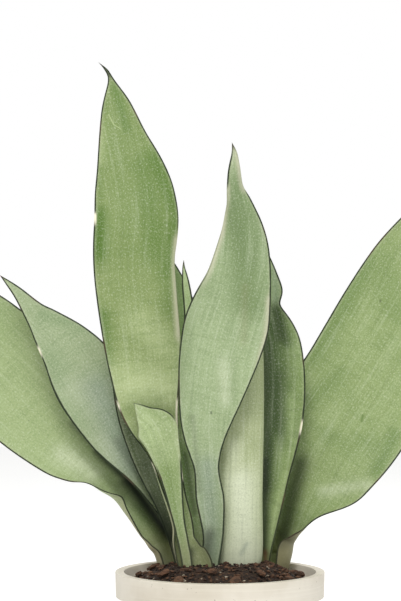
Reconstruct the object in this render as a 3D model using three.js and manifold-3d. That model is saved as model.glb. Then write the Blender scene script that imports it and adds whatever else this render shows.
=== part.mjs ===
// A potted snake plant: broad silvery leaves in a plain tapered pot of bark mix.
// Millimetres, +Z up. The origin is the centre of the pot's flat underside. -Y is the front.
import * as THREE from "three";
import { mergeVertices } from "three/addons/utils/BufferGeometryUtils.js";
import Module from "manifold-3d";

// ---- pot
const POT_HEIGHT = 150;
const POT_TOP_RADIUS = 84;
const POT_FOOT_RADIUS = 60;
const POT_WALL = 4.5;
const POT_FLOOR = 6;
const RIM_HEIGHT = 20;
const RIM_STEP = 2.5;
const EDGE_ROUND = 2;
const DRAIN_HOLES = 4;
const DRAIN_RADIUS = 6;
const DRAIN_CIRCLE = 34;
const ROUND_STEPS = 60;

// ---- soil and bark
const CROWN_RISE = 5;
const HEADSPACE = 9;
const MOUND_TOP = 0.5;
const GAP = 0.3;
const SOCKET_GAP = 0.7;
const CHIP_THICKNESS = 4.5;

// ---- plant
const PLANT_HEIGHT = 405;
const DRAWN_HEIGHT = 405;
const DRAWN_POT_RADIUS = 77;
const BASE_DEPTH = 22;
const MARGIN_THICKNESS = 1;
const BLADE_THICKNESS = 2.2;
const FOOT_THICKNESS = 4;
const FOOT_REACH = 90;
const THICKNESS_LIMIT = 0.45;
const RHIZOME_RADIUS = 10;
const RHIZOME_SPREAD = 1.7;
const FOOT_SINK = 5;
const RINGS_PER_STATION = 2;

const DEGREE = Math.PI / 180;
const CROWN = POT_HEIGHT + CROWN_RISE;
const PLANT_SCALE = PLANT_HEIGHT / DRAWN_HEIGHT;
const CROWN_SCALE = (POT_TOP_RADIUS - RIM_STEP - POT_WALL) / DRAWN_POT_RADIUS;

// Where the points of a leaf's section lie, from the left margin (-1) over the midrib (0) to the right.
const ACROSS = [-1, -0.78, -0.42, 0, 0.42, 0.78, 1];

// Each leaf is a list of stations, from its buried foot to its tip, in millimetres from the crown,
// for a plant DRAWN_HEIGHT tall whose feet fill a pot DRAWN_POT_RADIUS in inner radius:
// [x, y, height, half width, left curl, right curl, roll]. A curl is how far the blade has turned
// at that margin, in degrees: towards the inner face if positive, away from it if negative.
// Roll turns the inner face from the front (0) towards the right (+) or the left (-).
const LEAVES = {
  tall_leaf: [
    [-22, -2, -BASE_DEPTH, 11, 70, 70, 5],
    [-21, -2, 0, 14, 80, 70, 8],
    [-26, -2, 10, 11.5, 85, 65, 16],
    [-30.5, -2, 20, 9.5, 90, 60, 25],
    [-32, -1, 34, 9, 95, 60, 30],
    [-39, 0, 59, 10, 95, 50, 30],
    [-47, 1, 92, 14, 70, 40, 18],
    [-57, 2, 127, 23, 45, 30, 6],
    [-62, 2, 175, 30, 25, 10, 0],
    [-69, 5, 240, 32, 25, -25, 0],
    [-67, 10, 277, 33, 25, -25, 0],
    [-70, 18, 306, 30, 25, 5, 0],
    [-78, 27, 340, 20, 25, 20, 0],
    [-84, 36, 370, 11, 25, 25, 0],
    [-88, 41, 389, 2.5, 20, 20, 0],
    [-92, 44, 398, 1, 10, 10, 0],
    [-99, 48, 405, 0, 0, 0, 0],
  ],
  heart_leaf: [
    [-25, -10, -BASE_DEPTH, 4, 40, 40, 0],
    [-27, -10, 5, 4, 45, 45, 10],
    [-34, -10.5, 40, 5, 45, 45, 15],
    [-40, -10.5, 75, 9, 40, 40, 10],
    [-46, -10, 98, 13, 25, 20, 5],
    [-51.5, -10, 112, 16, 15, 10, 0],
    [-60, -10, 122, 7.5, 10, 10, 0],
    [-69, -11, 131, 0, 0, 0, 0],
  ],
  centre_leaf: [
    [-8, 7, -BASE_DEPTH, 6, 55, 55, 0],
    [-8, 6, 0, 7, 55, 55, 0],
    [-5.5, 4, 24, 8, 50, 50, 0],
    [-8, 0, 54, 11, 35, 30, 0],
    [-11, -3, 80, 10, 30, 25, 0],
    [-12, -7, 112, 19, 25, 20, 0],
    [-4, -11, 155, 29, 75, 20, 0],
    [5.5, -12, 195, 33, 60, 25, 0],
    [15, -15, 231, 25.5, 20, 25, 0],
    [18.5, -20, 261, 19, -25, 25, 0],
    [16, -27, 285, 11.5, -40, 15, 0],
    [12, -33, 301, 6.5, 20, -55, 0],
    [11, -39, 316, 4.5, 20, -50, 0],
    [11, -44, 329, 2, 20, -30, 0],
    [9, -48, 338, 0, 0, 0, 0],
  ],
  keeled_leaf: [
    [14, 12, -BASE_DEPTH, 13, -60, -60, 0],
    [14, 8, 5, 20, -60, -75, 0],
    [14, 6, 50, 20, -50, -75, 0],
    [15, 6, 100, 20, -45, -75, 0],
    [17, 7, 150, 18, -40, -75, 0],
    [20, 9, 185, 14, -35, -60, 0],
    [22, 11, 210, 7, -30, -40, 0],
    [23, 12, 226, 0, 0, 0, 0],
  ],
  backing_leaf: [
    [28, 33, -BASE_DEPTH, 11, 60, 60, 0],
    [29, 34, 5, 12, 70, 90, 0],
    [34, 35, 40, 15, 60, 90, 0],
    [39, 35, 75, 18, 50, 85, 0],
    [43, 34, 110, 23, 40, 50, 0],
    [45, 33, 145, 24, 30, 30, 0],
    [43, 31, 180, 21, 25, 10, 0],
    [38, 33, 205, 11.5, 20, 25, 0],
    [37, 34, 219, 13.5, 20, 40, 0],
    [36, 37, 238, 8, 20, 30, 0],
    [35, 40, 251, 3, 20, 20, 0],
    [34, 42, 258, 0, 0, 0, 0],
  ],
  right_leaf: [
    [50, 38, -BASE_DEPTH, 11, 80, 70, -90],
    [57, 41, 3, 17, 92, 88, -85],
    [58, 44, 14, 17, 95, 80, -66],
    [61, 46, 26, 17, 80, 65, -44],
    [65, 46, 43, 27, 55, 40, -34],
    [74, 46, 65, 45, 36, 30, -20],
    [89, 46, 96, 53, 28, 25, -10],
    [117, 51, 138, 53, 20, 18, -3],
    [144, 59, 183, 53, 15, 14, 0],
    [169, 68, 227, 50, 12, 12, 5],
    [190, 76, 262, 41, 12, 12, 8],
    [208, 83, 288, 29, 12, 12, 8],
    [222, 89, 307, 16, 10, 10, 8],
    [232, 93, 320, 6, 10, 10, 8],
    [240, 97, 333, 0, 0, 0, 0],
  ],
  spear_leaf: [
    [-17, 20, -BASE_DEPTH, 5, 50, 50, 0],
    [-17, 19.5, 5, 6, 50, 50, 0],
    [-18, 18.5, 29, 8, 45, 45, 0],
    [-23.5, 16.5, 60, 9, 40, 40, 0],
    [-29, 14, 100, 10, 35, 35, 0],
    [-26, 12, 150, 7, 35, 35, 0],
    [-24.5, 11, 195, 4, 35, 35, 0],
    [-27, 11, 222, 3, 30, 30, 0],
    [-29, 11, 238, 1, 20, 20, 0],
    [-29, 11, 245, 0, 0, 0, 0],
  ],
  rear_leaf: [
    [-8, 40, -BASE_DEPTH, 10, 50, 50, 0],
    [-9, 38, 0, 12, 50, 50, 0],
    [-17, 37, 60, 16, 35, 35, 0],
    [-26, 40, 120, 21, 25, 25, 0],
    [-33, 43, 170, 22, 20, 20, 0],
    [-37, 46, 205, 17, 15, 15, 0],
    [-40, 49, 230, 9, 10, 10, 0],
    [-43, 51, 250, 0, 0, 0, 0],
  ],
  olive_leaf: [
    [-29, 16, -BASE_DEPTH, 6, 50, 50, 10],
    [-31, 15, 5, 7, 50, 50, 15],
    [-41, 14, 45, 10, 40, 40, 10],
    [-54, 14, 80, 14, 30, 30, 5],
    [-65, 14, 120, 17, 20, 20, 0],
    [-72, 14, 160, 15, 20, 20, 0],
    [-76, 15, 195, 8, 15, 15, 0],
    [-78, 16, 220, 0, 0, 0, 0],
  ],
  left_leaf: [
    [-26, 30, -BASE_DEPTH, 8, 60, 60, 30],
    [-28, 29, 5, 9, 60, 60, 28],
    [-40.5, 27, 40, 11, 45, 45, 24],
    [-58, 26, 74, 18, 35, 35, 12],
    [-78, 25, 105, 27, 25, 25, 5],
    [-103, 22, 144, 30, 20, 20, 0],
    [-120, 17, 170, 24, 20, 20, 0],
    [-138, 11, 191, 15, 15, 15, 0],
    [-149, 7, 203, 9, 15, 15, 0],
    [-162, 1, 219, 4, 15, 15, 0],
    [-176, -5, 233, 0, 0, 0, 0],
  ],
  far_left_leaf: [
    [-44, 36, -BASE_DEPTH, 10, 60, 60, 75],
    [-49, 38, 3, 14, 75, 88, 66],
    [-53, 39, 12, 15, 75, 88, 56],
    [-58, 40, 22, 14, 65, 80, 48],
    [-69, 41, 37, 17, 70, 80, 58],
    [-81, 42, 50, 21, 75, 75, 70],
    [-89, 42, 63, 26, 60, 55, 52],
    [-98, 42, 80, 33, 42, 36, 30],
    [-115, 42, 99, 40, 28, 25, 16],
    [-149, 36, 132, 46, 18, 18, 4],
    [-180, 27, 163, 45, 15, 15, 0],
    [-206, 15, 191, 38, 12, 12, 0],
    [-229, 3, 214, 25, 12, 12, 0],
    [-245, -6, 230, 12, 10, 10, 0],
    [-253, -11, 238, 5, 10, 10, 0],
    [-259, -15, 245, 0, 0, 0, 0],
  ],
};

const LEAF_COLOURS = {
  tall_leaf: 0x93ab76,
  heart_leaf: 0x9cb580,
  centre_leaf: 0xa9bd95,
  keeled_leaf: 0xb4c19c,
  backing_leaf: 0x7a9460,
  right_leaf: 0x9bb47c,
  spear_leaf: 0x8aa36c,
  rear_leaf: 0x6f8b58,
  olive_leaf: 0x86966a,
  left_leaf: 0x8f9f8a,
  far_left_leaf: 0x9bb07c,
};

// The rhizome creeps sideways under the crown, and the leaves stand on it: [x, y].
const RHIZOME_PATH = [
  [-46, 28],
  [-24, 12],
  [0, 12],
  [26, 22],
  [50, 38],
];

// Bark chips lie round the crown, drawn for the same pot:
// [angle in degrees from +X, distance out, length, turn in degrees].
const CHIPS = [
  [158, 58, 13, 20],
  [172, 66, 9, 75],
  [28, 70, 11, 110],
  [8, 66, 10, 40],
  [215, 55, 12, 160],
  [238, 62, 15, 30],
  [262, 48, 10, 80],
  [281, 60, 14, 140],
  [308, 52, 11, 10],
  [330, 64, 13, 60],
  [97, 64, 14, 25],
  [112, 68, 12, 95],
];

const wasm = await Module();
wasm.setup();

function solidOf(geometry) {
  const bare = geometry.clone();
  bare.deleteAttribute("normal");
  bare.deleteAttribute("uv");
  const merged = mergeVertices(bare, 1e-4);
  const corners = merged.index.array;
  const kept = [];
  for (let i = 0; i < corners.length; i += 3) {
    const [a, b, c] = [corners[i], corners[i + 1], corners[i + 2]];
    if (a !== b && b !== c && c !== a) {
      kept.push(a, b, c);
    }
  }
  return new wasm.Manifold(
    new wasm.Mesh({
      numProp: 3,
      vertProperties: merged.attributes.position.array,
      triVerts: new Uint32Array(kept),
    }),
  );
}

function geometryOf(solid) {
  const mesh = solid.getMesh();
  const positions = new Float32Array(mesh.numVert * 3);
  for (let i = 0; i < mesh.numVert; i++) {
    const start = i * mesh.numProp;
    positions.set(mesh.vertProperties.subarray(start, start + 3), i * 3);
  }
  const geometry = new THREE.BufferGeometry();
  geometry.setAttribute("position", new THREE.BufferAttribute(positions, 3));
  geometry.setIndex(new THREE.BufferAttribute(new Uint32Array(mesh.triVerts), 1));
  geometry.computeVertexNormals();
  return geometry;
}

function named(name, geometry, color, roughness) {
  const material = new THREE.MeshStandardMaterial({ color, roughness, metalness: 0 });
  const mesh = new THREE.Mesh(geometry, material);
  mesh.name = name;
  return mesh;
}

// ---- leaves

// The section's points, as [across, towards the outer face, turn] for each place in ACROSS.
// The blade turns more and more towards its margins, and is drawn to its half width.
function section(halfWidth, leftCurl, rightCurl) {
  const steps = 24;
  const places = new Map([[0, [0, 0, 0]]]);
  for (const side of [-1, 1]) {
    const curl = (side < 0 ? leftCurl : rightCurl) * DEGREE;
    let across = 0;
    let outward = 0;
    for (let i = 1; i <= steps; i++) {
      const middle = curl * ((i - 0.5) / steps) ** 1.5;
      across += (side * Math.cos(middle)) / steps;
      outward -= Math.sin(middle) / steps;
      places.set(side * i, [across, outward, side * curl * (i / steps) ** 1.5]);
    }
  }
  const reach = [...places.values()].map((place) => place[0]);
  const low = Math.min(...reach);
  const high = Math.max(...reach);
  const stretch = (2 * halfWidth) / (high - low);
  return ACROSS.map((share) => {
    const [across, outward, turn] = places.get(Math.round(share * steps));
    return [(across - (low + high) / 2) * stretch, outward * stretch, turn];
  });
}

// How much a leaf is enlarged across: its foot follows the pot, and the blade above follows the plant.
function spread(height) {
  const share = Math.min(1, Math.max(0, height / FOOT_REACH));
  const rise = share * share * (3 - 2 * share);
  return CROWN_SCALE + (PLANT_SCALE - CROWN_SCALE) * rise;
}

function bladeThickness(share, height, halfWidth) {
  const foot = Math.min(1, Math.max(0, 1 - height / FOOT_REACH));
  const middle = BLADE_THICKNESS + (FOOT_THICKNESS - BLADE_THICKNESS) * foot;
  const full = MARGIN_THICKNESS + (middle - MARGIN_THICKNESS) * (1 - share * share);
  return Math.min(full, THICKNESS_LIMIT * halfWidth) * spread(height);
}

// One leaf as a closed loft. A grown leaf is thicker and wider all round, and cuts the leaf's socket.
function leafGeometry(stations, grow) {
  const last = stations.length - 1;
  const spine = new THREE.CatmullRomCurve3(
    stations.map(([x, y, height]) => new THREE.Vector3(x, y, height)),
    false,
    "catmullrom",
  );
  const width = new THREE.CatmullRomCurve3(
    stations.map((station) => new THREE.Vector3(station[3], station[4], station[5])),
    false,
    "catmullrom",
  );
  const turning = new THREE.CatmullRomCurve3(
    stations.map((station) => new THREE.Vector3(station[6], 0, 0)),
    false,
    "catmullrom",
  );
  const rings = last * RINGS_PER_STATION;
  const count = ACROSS.length;
  const positions = [];
  for (let ring = 0; ring < rings; ring++) {
    const along = ring / rings;
    const centre = spine.getPoint(along);
    const tangent = spine.getTangent(along);
    const size = width.getPoint(along);
    const inner = new THREE.Vector3(0, -1, 0).applyAxisAngle(
      new THREE.Vector3(0, 0, 1),
      turning.getPoint(along).x * DEGREE,
    );
    inner.addScaledVector(tangent, -inner.dot(tangent)).normalize();
    const right = new THREE.Vector3().crossVectors(tangent, inner);
    const across = spread(centre.z);
    const places = section(size.x * across + grow, size.y, size.z);
    const middle = centre.clone().multiply(new THREE.Vector3(across, across, PLANT_SCALE));
    if (ring === 0) {
      middle.addScaledVector(tangent, -grow);
    }
    const faces = [[], []];
    places.forEach(([sideways, outward, turn], i) => {
      const thickness = bladeThickness(ACROSS[i], centre.z, size.x) + 2 * grow;
      [-0.5, 0.5].forEach((side, face) => {
        const point = middle.clone();
        point.addScaledVector(right, sideways + side * thickness * Math.sin(turn));
        point.addScaledVector(inner, -(outward + side * thickness * Math.cos(turn)));
        faces[face].push(point);
      });
    });
    for (const point of [...faces[0], ...faces[1].reverse()]) {
      positions.push(point.x, point.y, CROWN + point.z);
    }
  }
  const tip = spine.getPoint(1).multiplyScalar(PLANT_SCALE);
  positions.push(tip.x, tip.y, CROWN + tip.z);

  const around = 2 * count;
  const index = [];
  for (let ring = 0; ring < rings - 1; ring++) {
    for (let i = 0; i < around; i++) {
      const a = ring * around + i;
      const b = ring * around + ((i + 1) % around);
      index.push(a, b, b + around, a, b + around, a + around);
    }
  }
  const pole = rings * around;
  for (let i = 0; i < around; i++) {
    index.push(pole - around + i, pole - around + ((i + 1) % around), pole);
  }
  for (let i = 0; i < count - 1; i++) {
    const opposite = around - 1 - i;
    index.push(i, opposite, opposite - 1, i, opposite - 1, i + 1);
  }
  const geometry = new THREE.BufferGeometry();
  geometry.setAttribute("position", new THREE.BufferAttribute(new Float32Array(positions), 3));
  geometry.setIndex(index);
  geometry.computeVertexNormals();
  return geometry;
}

// ---- pot

function outerRadius(height) {
  return POT_FOOT_RADIUS + ((POT_TOP_RADIUS - RIM_STEP - POT_FOOT_RADIUS) * height) / POT_HEIGHT;
}

function innerRadius(height) {
  return outerRadius(height) - POT_WALL;
}

function lathe(profile) {
  const points = profile.map(([radius, height]) => new THREE.Vector2(radius, height));
  const geometry = new THREE.LatheGeometry(points, ROUND_STEPS);
  geometry.rotateX(90 * DEGREE);
  return geometry;
}

function drainGeometry(index) {
  const depth = 4 * POT_FLOOR;
  const drain = new THREE.CylinderGeometry(DRAIN_RADIUS, DRAIN_RADIUS, depth, 24);
  const angle = (index + 0.5) * (360 / DRAIN_HOLES) * DEGREE;
  drain.rotateX(90 * DEGREE);
  drain.translate(DRAIN_CIRCLE * Math.cos(angle), DRAIN_CIRCLE * Math.sin(angle), 0);
  return drain;
}

function potGeometry() {
  const rimFoot = POT_HEIGHT - RIM_HEIGHT;
  const rimFootRadius = outerRadius(rimFoot) + RIM_STEP;
  const profile = [
    [0, 0],
    [POT_FOOT_RADIUS - EDGE_ROUND, 0],
    [outerRadius(EDGE_ROUND), EDGE_ROUND],
    [outerRadius(rimFoot - RIM_STEP), rimFoot - RIM_STEP],
    [rimFootRadius, rimFoot],
    [POT_TOP_RADIUS, POT_HEIGHT - EDGE_ROUND],
    [POT_TOP_RADIUS - EDGE_ROUND, POT_HEIGHT],
    [innerRadius(POT_HEIGHT) + EDGE_ROUND, POT_HEIGHT],
    [innerRadius(POT_HEIGHT), POT_HEIGHT - EDGE_ROUND],
    [innerRadius(POT_FLOOR), POT_FLOOR],
    [0, POT_FLOOR],
  ];
  let pot = solidOf(lathe(profile));
  for (let i = 0; i < DRAIN_HOLES; i++) {
    pot = pot.subtract(solidOf(drainGeometry(i)));
  }
  return geometryOf(pot);
}

// ---- rhizome, soil and bark

// A flattened tube, drawn round and then spread sideways.
function rhizomeTube(grow) {
  const depth = BASE_DEPTH * PLANT_SCALE - FOOT_SINK + RHIZOME_RADIUS;
  const points = RHIZOME_PATH.map(
    ([x, y]) => new THREE.Vector3(x * CROWN_SCALE, (y * CROWN_SCALE) / RHIZOME_SPREAD, -depth),
  );
  points[0].x -= 2 * grow;
  points[points.length - 1].x += 2 * grow;
  const path = new THREE.CatmullRomCurve3(points);
  const outline = new THREE.Shape();
  outline.absarc(0, 0, RHIZOME_RADIUS + grow, 0, 360 * DEGREE);
  const tube = new THREE.ExtrudeGeometry(outline, { steps: 14, curveSegments: 10, extrudePath: path });
  tube.scale(1, RHIZOME_SPREAD, 1);
  tube.translate(0, 0, CROWN);
  return tube;
}

function withoutLeaves(solid) {
  for (const stations of Object.values(LEAVES)) {
    solid = solid.subtract(solidOf(leafGeometry(stations, SOCKET_GAP)));
  }
  return solid;
}

function rhizomeGeometry() {
  return geometryOf(withoutLeaves(solidOf(rhizomeTube(0))));
}

// The mix is level round the crown and falls off in a smooth curve to the wall.
function soilHeight(radius) {
  const edge = innerRadius(POT_HEIGHT);
  const share = Math.min(1, Math.max(0, (radius / edge - MOUND_TOP) / (1 - MOUND_TOP)));
  const fall = share * share * (3 - 2 * share);
  return CROWN - (CROWN_RISE + HEADSPACE) * fall;
}

function soilGeometry() {
  const wallTop = POT_HEIGHT - HEADSPACE;
  const edge = innerRadius(wallTop) - GAP;
  const rows = 7;
  const profile = [
    [0, POT_FLOOR + GAP],
    [innerRadius(POT_FLOOR) - 2 * GAP, POT_FLOOR + GAP],
  ];
  for (let i = 0; i <= rows; i++) {
    const radius = edge * (1 - ((1 - MOUND_TOP) * i) / rows);
    profile.push([radius, soilHeight(radius)]);
  }
  profile.push([0, CROWN]);
  const soil = withoutLeaves(solidOf(lathe(profile)));
  return geometryOf(soil.subtract(solidOf(rhizomeTube(GAP))));
}

function chipGeometry([angle, drawnDistance, drawnLength, turn]) {
  const distance = drawnDistance * CROWN_SCALE;
  const length = drawnLength * CROWN_SCALE;
  const chip = new THREE.DodecahedronGeometry(1);
  const place = new THREE.Vector3(distance, 0, 0).applyAxisAngle(new THREE.Vector3(0, 0, 1), angle * DEGREE);
  const rise = soilHeight(distance - length / 2) - soilHeight(distance + length / 2);
  const slope = Math.atan2(rise, length);
  chip.scale(length / 2, length / 3.2, CHIP_THICKNESS / 2);
  chip.rotateZ(turn * DEGREE);
  chip.rotateY(slope);
  chip.rotateZ(angle * DEGREE);
  chip.translate(place.x, place.y, 0);
  return chip;
}

function chipOnSoil(chip) {
  const geometry = chipGeometry(chip);
  const corners = geometry.attributes.position;
  let lift = -Infinity;
  for (let i = 0; i < corners.count; i++) {
    const radius = Math.hypot(corners.getX(i), corners.getY(i));
    lift = Math.max(lift, soilHeight(radius) - corners.getZ(i));
  }
  geometry.translate(0, 0, lift + 2 * GAP);
  return geometry;
}

// ---- the plant in its pot
const plant = new THREE.Group();
plant.add(named("pot", potGeometry(), 0xe6e1d6, 0.6));
plant.add(named("soil", soilGeometry(), 0x4a3526, 0.95));
plant.add(named("rhizome", rhizomeGeometry(), 0xc9b28a, 0.7));
for (const [name, stations] of Object.entries(LEAVES)) {
  plant.add(named(name, leafGeometry(stations, 0), LEAF_COLOURS[name], 0.5));
}
CHIPS.forEach((chip, i) => {
  plant.add(named("bark_chip_" + (i + 1), chipOnSoil(chip), 0x6b4630, 0.9));
});

export default plant;
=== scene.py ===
import math
import random

import bmesh
import bpy
import numpy as np
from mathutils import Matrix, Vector, noise


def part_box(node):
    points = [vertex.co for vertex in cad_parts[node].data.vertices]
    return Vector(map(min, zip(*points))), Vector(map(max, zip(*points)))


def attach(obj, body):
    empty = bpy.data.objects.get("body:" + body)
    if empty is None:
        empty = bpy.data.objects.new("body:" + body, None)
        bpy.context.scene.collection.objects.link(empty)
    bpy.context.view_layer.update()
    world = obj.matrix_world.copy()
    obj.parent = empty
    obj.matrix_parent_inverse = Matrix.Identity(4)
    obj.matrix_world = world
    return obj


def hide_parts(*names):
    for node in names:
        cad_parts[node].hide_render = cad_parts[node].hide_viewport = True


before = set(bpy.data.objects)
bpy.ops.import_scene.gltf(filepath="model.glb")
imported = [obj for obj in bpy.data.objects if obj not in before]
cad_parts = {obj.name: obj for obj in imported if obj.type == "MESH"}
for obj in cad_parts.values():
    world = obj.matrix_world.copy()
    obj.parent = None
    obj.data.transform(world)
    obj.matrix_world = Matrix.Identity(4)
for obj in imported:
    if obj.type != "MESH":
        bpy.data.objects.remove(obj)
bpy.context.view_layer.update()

# Lengths are in metres. The pot stands on z = 0, and -Y is the front.
MM = 0.001
POT_LOW, POT_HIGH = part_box("pot")
SOIL_LOW, SOIL_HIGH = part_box("soil")
CROWN = SOIL_HIGH.z
WELD_DISTANCE = 0.02 * MM

# ---- plain mesh helpers


def deselect():
    """Leaves edit mode and selects nothing."""
    if bpy.context.object and bpy.context.object.mode != "OBJECT":
        bpy.ops.object.mode_set(mode="OBJECT")
    bpy.ops.object.select_all(action="DESELECT")


def activate(piece):
    deselect()
    piece.select_set(True)
    bpy.context.view_layer.objects.active = piece


def new_piece(name, points, faces):
    mesh = bpy.data.meshes.new(name)
    mesh.from_pydata([tuple(p) for p in points], [], [tuple(f) for f in faces])
    mesh.update()
    piece = bpy.data.objects.new(name, mesh)
    bpy.context.scene.collection.objects.link(piece)
    return piece


def carried_copy(node, name):
    """A copy of a CAD node's mesh, with its loose triangles joined."""
    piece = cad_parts[node].copy()
    piece.data = piece.data.copy()
    for key in list(piece.keys()):
        del piece[key]
    piece.parent = None
    piece.name = name
    piece.data.name = name
    bpy.context.scene.collection.objects.link(piece)
    activate(piece)
    bpy.ops.object.mode_set(mode="EDIT")
    bpy.ops.mesh.select_all(action="SELECT")
    bpy.ops.mesh.remove_doubles(threshold=WELD_DISTANCE)
    bpy.ops.object.mode_set(mode="OBJECT")
    bpy.ops.mesh.customdata_custom_splitnormals_clear()
    return piece


def smooth(piece, angle=None):
    """Shades a piece smooth, all over or up to this angle in degrees."""
    activate(piece)
    if angle is None:
        bpy.ops.object.shade_smooth()
    else:
        bpy.ops.object.shade_smooth_by_angle(angle=math.radians(angle))


def apply_modifier(piece, kind, **settings):
    activate(piece)
    modifier = piece.modifiers.new(kind.lower(), kind)
    for key, value in settings.items():
        setattr(modifier, key, value)
    bpy.ops.object.modifier_apply(modifier=modifier.name)


def settle(piece, finish, slot, *nodes):
    """The piece gets its finish, rides on the one body, and stands for its CAD nodes."""
    piece.data.materials.clear()
    piece.data.materials.append(finish)
    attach(piece, "root")
    if nodes:
        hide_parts(*nodes)


# ---- finishes


def colour(text):
    """A colour written as on a paint card, such as "96ac78", as linear light."""
    parts = [int(text[i : i + 2], 16) / 255 for i in (0, 2, 4)]
    return tuple(p / 12.92 if p <= 0.04045 else ((p + 0.055) / 1.055) ** 2.4 for p in parts) + (1,)


class Amount:
    """A shader socket that takes part in sums."""

    def __init__(self, finish, socket):
        self.finish, self.socket = finish, socket

    def maths(self, operation, *terms):
        node = self.finish.node("Math", {"operation": operation}, dict(enumerate(terms)))
        return Amount(self.finish, node.outputs[0])

    def __add__(self, other):
        return self.maths("ADD", self, other)

    def __sub__(self, other):
        return self.maths("SUBTRACT", self, other)

    def __rsub__(self, other):
        return self.maths("SUBTRACT", other, self)

    def __mul__(self, other):
        return self.maths("MULTIPLY", self, other)

    def __truediv__(self, other):
        return self.maths("DIVIDE", self, other)

    __radd__, __rmul__ = __add__, __mul__

    def step(self, low, high):
        """0 below low, 1 above high, and a soft rise between."""
        node = self.finish.node(
            "MapRange", {"interpolation_type": "SMOOTHSTEP"}, {0: self, 1: low, 2: high}
        )
        return Amount(self.finish, node.outputs[0])

    def least(self, other):
        return self.maths("MINIMUM", self, other)

    def most(self, other):
        return self.maths("MAXIMUM", self, other)

    def root(self):
        return self.maths("SQRT", self)


class Finish:
    """One material, built node by node."""

    def __init__(self, name):
        self.material = bpy.data.materials.new(name)
        self.material.use_nodes = True
        self.tree = self.material.node_tree
        self.tree.nodes.clear()

    def node(self, kind, settings=None, sockets=None):
        node = self.tree.nodes.new("ShaderNode" + kind)
        for key, value in (settings or {}).items():
            setattr(node, key, value)
        for key, value in (sockets or {}).items():
            if isinstance(value, Amount):
                self.tree.links.new(value.socket, node.inputs[key])
            else:
                node.inputs[key].default_value = value
        return node

    def output(self, node, key=0):
        return Amount(self, node.outputs[key])

    def parts(self, vector):
        node = self.node("SeparateXYZ", None, {0: vector})
        return [self.output(node, i) for i in range(3)]

    def place(self, x, y, z):
        return self.output(self.node("CombineXYZ", None, {0: x, 1: y, 2: z}))

    def kept(self, name):
        """The three numbers that a piece keeps at each point under this name."""
        node = self.node("Attribute", {"attribute_name": name})
        return self.parts(self.output(node, "Vector"))

    def object_place(self):
        return self.output(self.node("TexCoord"), "Object")

    def noise(self, vector, scale=1.0, detail=2.0, rough=0.5, twist=0.0):
        sockets = {"Vector": vector, "Scale": scale, "Detail": detail, "Roughness": rough}
        sockets["Distortion"] = twist
        return self.output(self.node("TexNoise", None, sockets))

    def cells(self, vector, scale=1.0, output="Distance"):
        node = self.node("TexVoronoi", None, {"Vector": vector, "Scale": scale})
        return self.output(node, output)

    def blend(self, first, second, share):
        node = self.node("Mix", {"data_type": "RGBA"}, {0: share, 6: first, 7: second})
        return self.output(node, 2)

    def scar(self, x0, up0, x1, up1, width):
        """1 on a straight thin scar seen from the front, its ends in mm from the axis and above the mix."""
        x, _, z = self.parts(self.object_place())
        x, z = x / MM - x0, (z - CROWN) / MM - up0
        length = math.hypot(x1 - x0, up1 - up0)
        run_x, run_z = (x1 - x0) / length, (up1 - up0) / length
        run = (x * run_x + z * run_z).most(0.0).least(length)
        off_x, off_z = x - run * run_x, z - run * run_z
        off = (off_x * off_x + off_z * off_z).root()
        return 1 - off.step(width * 0.35, width * 0.7)

    def bump(self, height, depth, strength=1.0):
        sockets = {"Height": height, "Distance": depth, "Strength": strength}
        return self.output(self.node("Bump", None, sockets), "Normal")

    def done(self, **sockets):
        names = {key.replace("_", " "): value for key, value in sockets.items()}
        shader = self.node("BsdfPrincipled", None, names)
        end = self.node("OutputMaterial")
        self.tree.links.new(shader.outputs[0], end.inputs[0])
        return self.material


# Tones that all the leaves share.
LEAF_TONES = {
    "bluish": "8b9a88",
    "pale streak": "dfe6cf",
    "deep streak": "3c5229",
    "pale grain": "eef2e0",
    "deep grain": "415a2c",
    "speck": "4b5a3c",
    "fleck": "f4f3dc",
    "thin edge": "cdd0b4",
    "worn edge": "c8c4ad",
    "shade": "121b0d",
    "scorch": "7b4a34",
    "rim": "17230f",
    "dry rim": "5b4033",
    "bare rim": "ece7cf",
    "bare edge": "efead2",
    "awl": "3f3a2a",
}


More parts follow.
